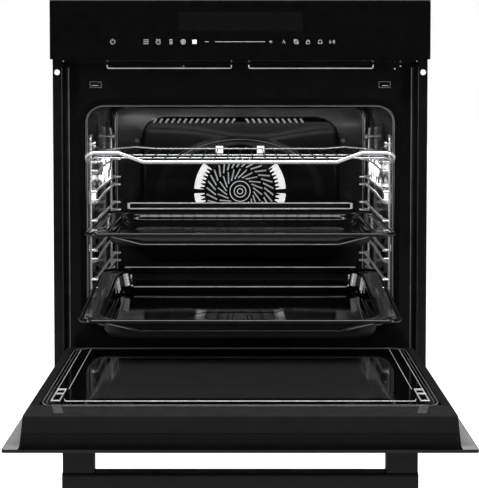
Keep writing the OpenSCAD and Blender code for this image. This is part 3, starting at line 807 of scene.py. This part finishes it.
def cover_lines():
    """Light caught along the pressed edges of the fan cover: the oval's top and the crease."""
    oval = []
    for i in range(49):
        angle = math.radians(31 + 118 * i / 48)
        x, z = 149 * MM * math.cos(angle), FAN.z + 97 * MM * math.sin(angle)
        oval.append(on_cover(x, z, 0.2 * MM))
    crease = []
    for i in range(57):
        u = -168 + 6 * i
        crease.append(on_cover(u * MM, FAN.z + crease_height(u) * MM, 0.9 * MM))
    # both are painted highlights: a glowing wire on the oval's top and a grey strip on the crease
    wire_set("cover_oval_highlight", [(oval, 0.8 * MM)], 1 * MM, "root", "pale_painted_highlight")
    wire_set("cover_crease_highlight", [(crease, 1.5 * MM)], 1 * MM, "root", "dim_painted_highlight")


cover_lines()

# ---------------------------------------------------------------- side racks and wire shelf
RAIL_LOW = 102 * MM
RAIL_PITCH = 47.5 * MM
RAIL_PAIR = 14 * MM
RAIL_X, ROD_X = 232 * MM, 240.8 * MM
RACK_FRONT, RACK_BACK = 38 * MM, 398 * MM
RACK_WIRE = 2.0 * MM
RAIL_LEVELS = 6


def side_rack(side, node):
    """Two upright rods, an upper and a lower rail at each level, and stubs through the rods."""
    paths = []
    for y in (RACK_FRONT, RACK_BACK):
        bend = 10 * MM if y == RACK_FRONT else -10 * MM
        paths.append(fillet_path([(side * ROD_X, y + bend, 380 * MM), (side * ROD_X, y, 376 * MM),
                                  (side * ROD_X, y, 100 * MM), (side * ROD_X, y + bend, 99 * MM)],
                                 6 * MM))
    for level in range(RAIL_LEVELS):
        for drop, dip in ((0, 0), (RAIL_PAIR, 6 * MM)):
            if drop and not level:
                continue  # the lowest level has no lower rail, so the deep tray can level itself
            z = RAIL_LOW + level * RAIL_PITCH - drop
            paths.append(fillet_path([(side * ROD_X, RACK_FRONT, z - dip - 2 * MM),
                                      (side * RAIL_X, RACK_FRONT + 9 * MM, z - dip),
                                      (side * RAIL_X, 180 * MM, z),
                                      (side * RAIL_X, RACK_BACK - 8 * MM, z),
                                      (side * ROD_X, RACK_BACK, z - 2 * MM)], 7 * MM))
            for y in (RACK_FRONT, RACK_BACK):
                inner = (230 if y == RACK_FRONT else 223) * MM
                paths.append([(side * (ROD_X + 1 * MM), y, z - 2 * MM),
                              (side * inner, y, z - 2 * MM)])
    wire_set(node + "_wires", paths, RACK_WIRE, "root", "chrome_wire", (node,))


side_rack(-1, "side_rack_left")
side_rack(1, "side_rack_right")

SHELF_SEAT = 341.8 * MM
CROSS_BARS = (52 * MM, 145 * MM)


def wire_shelf():
    """The shelf's frame with its raised ends, two cross bars and the thin rods."""
    low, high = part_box("wire_shelf")
    front = low.y + 2.5 * MM
    back = high.y - 2.5 * MM
    z = SHELF_SEAT + 2.5 * MM
    up, side = z + 14 * MM, high.x - 2.5 * MM
    thick = 3.0 * MM
    paths = []
    meet = front + 60 * MM
    nose = [(-side, meet, z), (-side, front + 20 * MM, z), (-side, front, up),
            (-186 * MM, front, up), (-148 * MM, front, z)]
    tail = [(-side, meet, z), (-side, back, z + 2 * MM), (-188 * MM, back, z + 6 * MM),
            (-150 * MM, back, z + 3 * MM)]
    for half, width in ((nose, thick), (tail, 1.5 * MM)):
        paths.append((fillet_path(half + [(-x, y, h) for x, y, h in reversed(half)], 16 * MM, 8),
                      width))
    for y in CROSS_BARS:
        paths.append(([(-side, y, z - 0.5 * MM), (side, y, z - 0.5 * MM)], 1.3 * MM))
    inside = []
    for i in range(21):
        x = (-200 + i * 20) * MM
        inner = abs(i - 10) <= 7
        inside.append(([(x, front if inner else 51 * MM, z + 1.8 * MM),
                        (x, back if inner else 255 * MM, z + 1.8 * MM)], 0.9 * MM))
    wire_set("wire_shelf_rods", paths, thick, "wire_shelf", "chrome_wire", ("wire_shelf",))
    # the thin rods are chrome, given a near-black finish as painted shade
    wire_set("wire_shelf_grid", inside, thick, "wire_shelf", "shaded_chrome_wire")


wire_shelf()

# ---------------------------------------------------------------- control panel print
PANEL_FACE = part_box("control_glass")[0].y
KEY_ROW = 529.5 * MM


def line_print(paths, width=0.22):
    """Printed strokes on the panel glass, as thin tubes half sunk in it, from millimetres."""
    return [([(x * MM, PANEL_FACE + 0.05 * MM, KEY_ROW + z * MM) for x, z in path], width * MM)
            for path in paths]


def arc(cx, cz, r, start, end, steps=14):
    """Points along part of a circle, from one angle to another in degrees."""
    return [(cx + r * math.cos(math.radians(start + (end - start) * i / steps)),
             cz + r * math.sin(math.radians(start + (end - start) * i / steps)))
            for i in range(steps + 1)]


def key_symbols():
    """The row of touch symbols, one lit key and the display's window."""
    strokes = []
    strokes += [arc(-199, 0, 3.6, 120, 420), [(-199, 1), (-199, 5)]]
    strokes += [[(-151, z), (-143, z)] for z in (-3, 0, 3)]
    strokes += [arc(-128, -0.5, 3.4, 0, 360), [(-128, -0.5), (-128, 1.6)],
                [(-131.4, 4), (-129.6, 3)], [(-124.6, 4), (-126.4, 3)]]
    strokes += [[(-110.5, z), (-105.5, z)] for z in (-3.4, -1.1, 1.1, 3.4)]
    strokes += [arc(-89, 0, 3.7, 0, 360)]
    strokes += [arc(-89 + 1.5 * math.cos(a), 1.5 * math.sin(a), 1.1, 0, 300, 8)
                for a in (0.4, 2.5, 4.6)]
    strokes += [[(-55, 0), (-49, 0)], [(-39, 0), (39, 0)], [(45.5, 0), (50.5, 0)],
                [(48, -2.5), (48, 2.5)]]
    strokes += [[(65.8, -3), (68, 3), (70.2, -3)]]
    strokes += [arc(87.5, 0, 3.2, 0, 360), [(84.2, 3.6), (91, -3.4)]]
    strokes += [[(103.4, -3.2), (108.6, -3.2), (108.6, 0.6), (103.4, 0.6), (103.4, -3.2)],
                arc(106, 0.6, 1.9, 0, 180)]
    strokes += [arc(125, 0, 2.7, 20, 160), [(122, -2.6), (128, -2.6)], [(122.5, 0.8), (122, -2.6)],
                [(127.5, 0.8), (128, -2.6)]]
    strokes += [[(140, -2.6), (140, 2.6), (143, 0), (140, -2.6)], [(145.5, -2.6), (145.5, 2.6)],
                [(147.5, -2.6), (147.5, 2.6)]]
    wire_set("key_symbols", line_print(strokes), 0.4 * MM, "root", "key_print")
    bm = bmesh.new()
    box_into(bm, (-74.5 * MM, PANEL_FACE - 0.1 * MM, KEY_ROW - 3.2 * MM),
             (-68 * MM, PANEL_FACE + 0.2 * MM, KEY_ROW + 3.2 * MM))
    piece("key_selected", bm, "root", "key_print", smooth=False)
    window = bmesh.new()
    box_into(window, (-97.5 * MM, PANEL_FACE - 0.05 * MM, 546 * MM),
             (97.5 * MM, PANEL_FACE + 0.2 * MM, 576 * MM))
    piece("display_window", window, "root", "display_window", smooth=False)


key_symbols()

# ---------------------------------------------------------------- bright edges of the front
RECESS_FACE_HALF = 273.8
FLANGE_LINE_HALF = 281.6
FLANGE_SCREWS = ((256, 492), (247, 488))


def mirrored(paths):
    """The given paths and their mirror images on the other side."""
    return paths + [([(-x, y, z) for x, y, z in path], thick) for path, thick in paths]


def front_edges():
    """Light along the front frame: air slots, screw slots, side lines and the cavity's mouth."""
    bright, pale = [], []
    low, high = 14 * MM, 212 * MM
    lip = fillet_path([(low, 22.6 * MM, 494 * MM), (low, 22.6 * MM, 488.6 * MM),
                       (high, 22.6 * MM, 488.6 * MM), (high, 22.6 * MM, 494 * MM)], 5 * MM)
    bright.append((lip, 0.9 * MM))
    slot = [(222 * MM, 25.8 * MM, 458 * MM), (240 * MM, 25.8 * MM, 458 * MM),
            (240 * MM, 25.8 * MM, 467 * MM), (222 * MM, 25.8 * MM, 467 * MM)]
    pale.append((slot + slot[:1], 0.5 * MM))
    bright.append(([(227 * MM, 26 * MM, 461 * MM), (237 * MM, 26 * MM, 461 * MM)], 0.5 * MM))
    dim = []
    for x, y, group in ((RECESS_FACE_HALF, 25.4, pale), (FLANGE_LINE_HALF, -1.3, dim)):
        group.append(([(x * MM, y * MM, 22 * MM), (x * MM, y * MM, 490 * MM)], 0.6 * MM))
    screws = [([(x * MM, 25.9 * MM, z * MM), (x * MM, 25.2 * MM, z * MM)], 1.3 * MM)
              for x, z in FLANGE_SCREWS]
    wire_set("front_bright_edges", mirrored(bright) + screws, 1 * MM, "root", "bright_painted_highlight")
    wire_set("front_pale_edges", mirrored(pale), 1 * MM, "root", "pale_painted_highlight")
    wire_set("front_dim_edges", mirrored(dim), 1 * MM, "root", "dim_painted_highlight")
    mouth = ring_points(CAVITY_HALF + 1.2 * MM, CAVITY_LOW - 1.2 * MM, CAVITY_HIGH + 1.2 * MM,
                        26 * MM, 0)
    ring = [Vector((x, 24.9 * MM, z)) for x, z, _ in mouth]
    wire_set("cavity_mouth_highlight", [ring + ring[:1]], 0.5 * MM, "root", "pale_painted_highlight")
    # painted highlights down the cavity's rear corners
    corners = [([(233 * MM, 437.6 * MM, 96 * MM), (233 * MM, 437.6 * MM, 408 * MM)], 0.8 * MM)]
    wire_set("cavity_corner_highlights", mirrored(corners), 1 * MM, "root", "pale_painted_highlight")


front_edges()


def rack_clips():
    """White clips against the cavity's walls, beside the racks' front rods, glowing as a painted highlight."""
    bm = bmesh.new()
    for side in (-1, 1):
        for y0, y1, z0, z1 in ((60, 128, 268, 288), (52, 62, 192, 202)):
            xs = sorted((side * 242.9 * MM, side * 241.4 * MM))
            box_into(bm, (xs[0], y0 * MM, z0 * MM), (xs[1], y1 * MM, z1 * MM))
    piece("rack_clips", bm, "root", "white_ceramic", smooth=False, bevel=0.4 * MM)


rack_clips()

# ---------------------------------------------------------------- door dressing
HINGE = Vector((0, -11.5 * MM, 16 * MM))
DOOR_TOP = 33.5 * MM
# the clips that hold the inner glass: their near and far ends up the door
CLIP_LOW, CLIP_HIGH = 318, 390
# corners of the strap that runs from each clip over the door's cap: X and distance up the door
STRAP = ((236, 392), (248, 392), (235, 456), (223, 456))


def on_door(x, up, out=0.0):
    """A point on the open door: X, distance from its hinge, height over its inner side."""
    return Vector((x * MM, HINGE.y - up * MM, HINGE.z + DOOR_TOP + out * MM))


def door_loop(half, low, high, radius, out):
    """A closed line round the inner side of the door."""
    points = ring_points(half * MM, low * MM, high * MM, radius * MM, 0)
    ring = [on_door(x / MM, z / MM, out) for x, z, _ in points]
    return ring + ring[:1]


def door_lines():
    """Light along the inner glass and its clips, kept flat enough for the gasket when shut."""
    seat = [(door_loop(258, 22, 416, 24, -0.55), 0.8 * MM),
            (door_loop(253, 28, 410, 20, -0.3), 0.5 * MM)]
    # painted highlights along the seat of the inner glass
    wire_set("door_seat_highlight", seat, 1 * MM, "door", "pale_painted_highlight")
    lines = []
    for half in (248, 233):
        lines.append(([on_door(half, 34, -0.35), on_door(half, CLIP_LOW, -0.35)], 0.6 * MM))
    lines.append(([on_door(0, CLIP_HIGH, 0.2), on_door(229, CLIP_HIGH, 0.2)], 0.6 * MM))
    lines.append(([on_door(229, CLIP_HIGH, 0.2), on_door(231, 379, 0.2)], 0.6 * MM))
    for x in (236.5, 247.5):
        lines.append(([on_door(x, CLIP_LOW, 0.6), on_door(x, CLIP_HIGH, 0.6)], 0.7 * MM))
    for up in (320, 346, 388):
        lines.append(([on_door(236, up, 0.6), on_door(248, up, 0.6)], 0.7 * MM))
    # painted highlights along the glass's edges and its clips
    wire_set("door_highlight_lines", mirrored(lines), 1 * MM, "door", "bright_painted_highlight")


def door_dressing():
    """The clips' straps; the air groove and the rails' perforations as dark marks of painted shade; and grey
    strips at the glass's clear margins, a painted reflection.
    """
    plate = bmesh.new()
    for side in (-1, 1):
        strap = [on_door(side * x, up, 0.05) for x, up in STRAP]
        plate.faces.new([plate.verts.new(p) for p in strap])
    piece("clip_straps", plate, "door", "clip_plastic", smooth=False, sheet=0.15 * MM)
    # a thin near-black box across the door: painted shade in the air groove
    groove = bmesh.new()
    a, b = on_door(-250, 409, 0.25), on_door(250, 393, 0.02)
    box_into(groove, (a.x, a.y, b.z), (b.x, b.y, a.z))
    piece("air_groove", groove, "door", "black_glass", smooth=False)
    # near-black boxes on the rails: painted shade in the holes
    holes = bmesh.new()
    for side in (-1, 1):
        for i in range(20):
            up = 40 + i * 15
            a, b = on_door(side * 250.5, up + 7, 0.15), on_door(side * 253.5, up, -0.2)
            box_into(holes, (min(a.x, b.x), a.y, b.z), (max(a.x, b.x), b.y, a.z))
    piece("rail_perforations", holes, "door", "gasket_rubber", smooth=False)
    # grey strips under the glass's margins: a painted reflection of the white surroundings
    margin = bmesh.new()
    for side in (-1, 1):
        xs = sorted((side * 277.5 * MM, side * 296.6 * MM))
        box_into(margin, (xs[0], HINGE.y - 481 * MM, HINGE.z - 6.5 * MM),
                 (xs[1], HINGE.y - 12 * MM, HINGE.z - 6.3 * MM))
    piece("glass_reflection_strips", margin, "door", "painted_glass_reflection", smooth=False)


door_lines()
door_dressing()

# ---------------------------------------------------------------- stage and light


def make_stage():
    """A white room, of which the part gets only a little light."""
    scene = bpy.context.scene
    scene.view_settings.view_transform = "Standard"
    world = bpy.data.worlds.new("studio")
    scene.world = world
    world.use_nodes = True
    tree = world.node_tree
    back = tree.nodes["Background"]
    back.inputs["Color"].default_value = (1, 1, 1, 1)
    back.inputs["Strength"].default_value = 0.05
    path = add(tree, "ShaderNodeLightPath")
    mix = add(tree, "ShaderNodeMixShader")
    seen = add(tree, "ShaderNodeBackground", Color=(1, 1, 1, 1), Strength=1.0)
    tree.links.new(path.outputs["Is Camera Ray"], mix.inputs["Fac"])
    tree.links.new(back.outputs[0], mix.inputs[1])
    tree.links.new(seen.outputs[0], mix.inputs[2])
    tree.links.new(mix.outputs[0], tree.nodes["World Output"].inputs["Surface"])
    bpy.ops.mesh.primitive_plane_add(size=30, location=(0, 0, CAD_BOX[0].z - 0.25))
    floor = bpy.context.object
    floor.name = "floor"
    mat, tree, shader = new_material("floor")
    shader.inputs["Base Color"].default_value = (0.9, 0.9, 0.9, 1)
    shader.inputs["Roughness"].default_value = 0.8
    glow = add(tree, "ShaderNodeEmission", Color=(1, 1, 1, 1), Strength=1.2)
    path = add(tree, "ShaderNodeLightPath")
    both = add(tree, "ShaderNodeAddShader")
    shown = add(tree, "ShaderNodeMixShader")
    tree.links.new(shader.outputs[0], both.inputs[0])
    tree.links.new(glow.outputs[0], both.inputs[1])
    tree.links.new(path.outputs["Is Camera Ray"], shown.inputs["Fac"])
    tree.links.new(shader.outputs[0], shown.inputs[1])
    tree.links.new(both.outputs[0], shown.inputs[2])
    tree.links.new(shown.outputs[0], tree.nodes["Material Output"].inputs["Surface"])
    floor.data.materials.append(mat)


def area(name, place, target, size, watts):
    """A rectangular lamp that the camera doesn't see, turned towards a point."""
    data = bpy.data.lights.new(name, "AREA")
    data.shape = "RECTANGLE"
    data.size, data.size_y = size
    data.energy = watts
    lamp = bpy.data.objects.new(name, data)
    bpy.context.scene.collection.objects.link(lamp)
    lamp.location = place
    lamp.visible_camera = False
    lamp.rotation_euler = (Vector(target) - Vector(place)).to_track_quat("-Z", "Y").to_euler()


make_stage()
for name, x in (("left", -1.5), ("right", 1.5)):
    area(name, (x, -1.5, 0.9), (0, 0.1, 0.3), (0.35, 1.6), 17)
area("top", (0, -0.9, 2.0), (0, -0.3, 0.1), (1.6, 0.8), 40)
area("cavity_fill", (0, 60 * MM, 403 * MM), (0, 0.44, 0.38), (0.42, 0.04), 0.3)
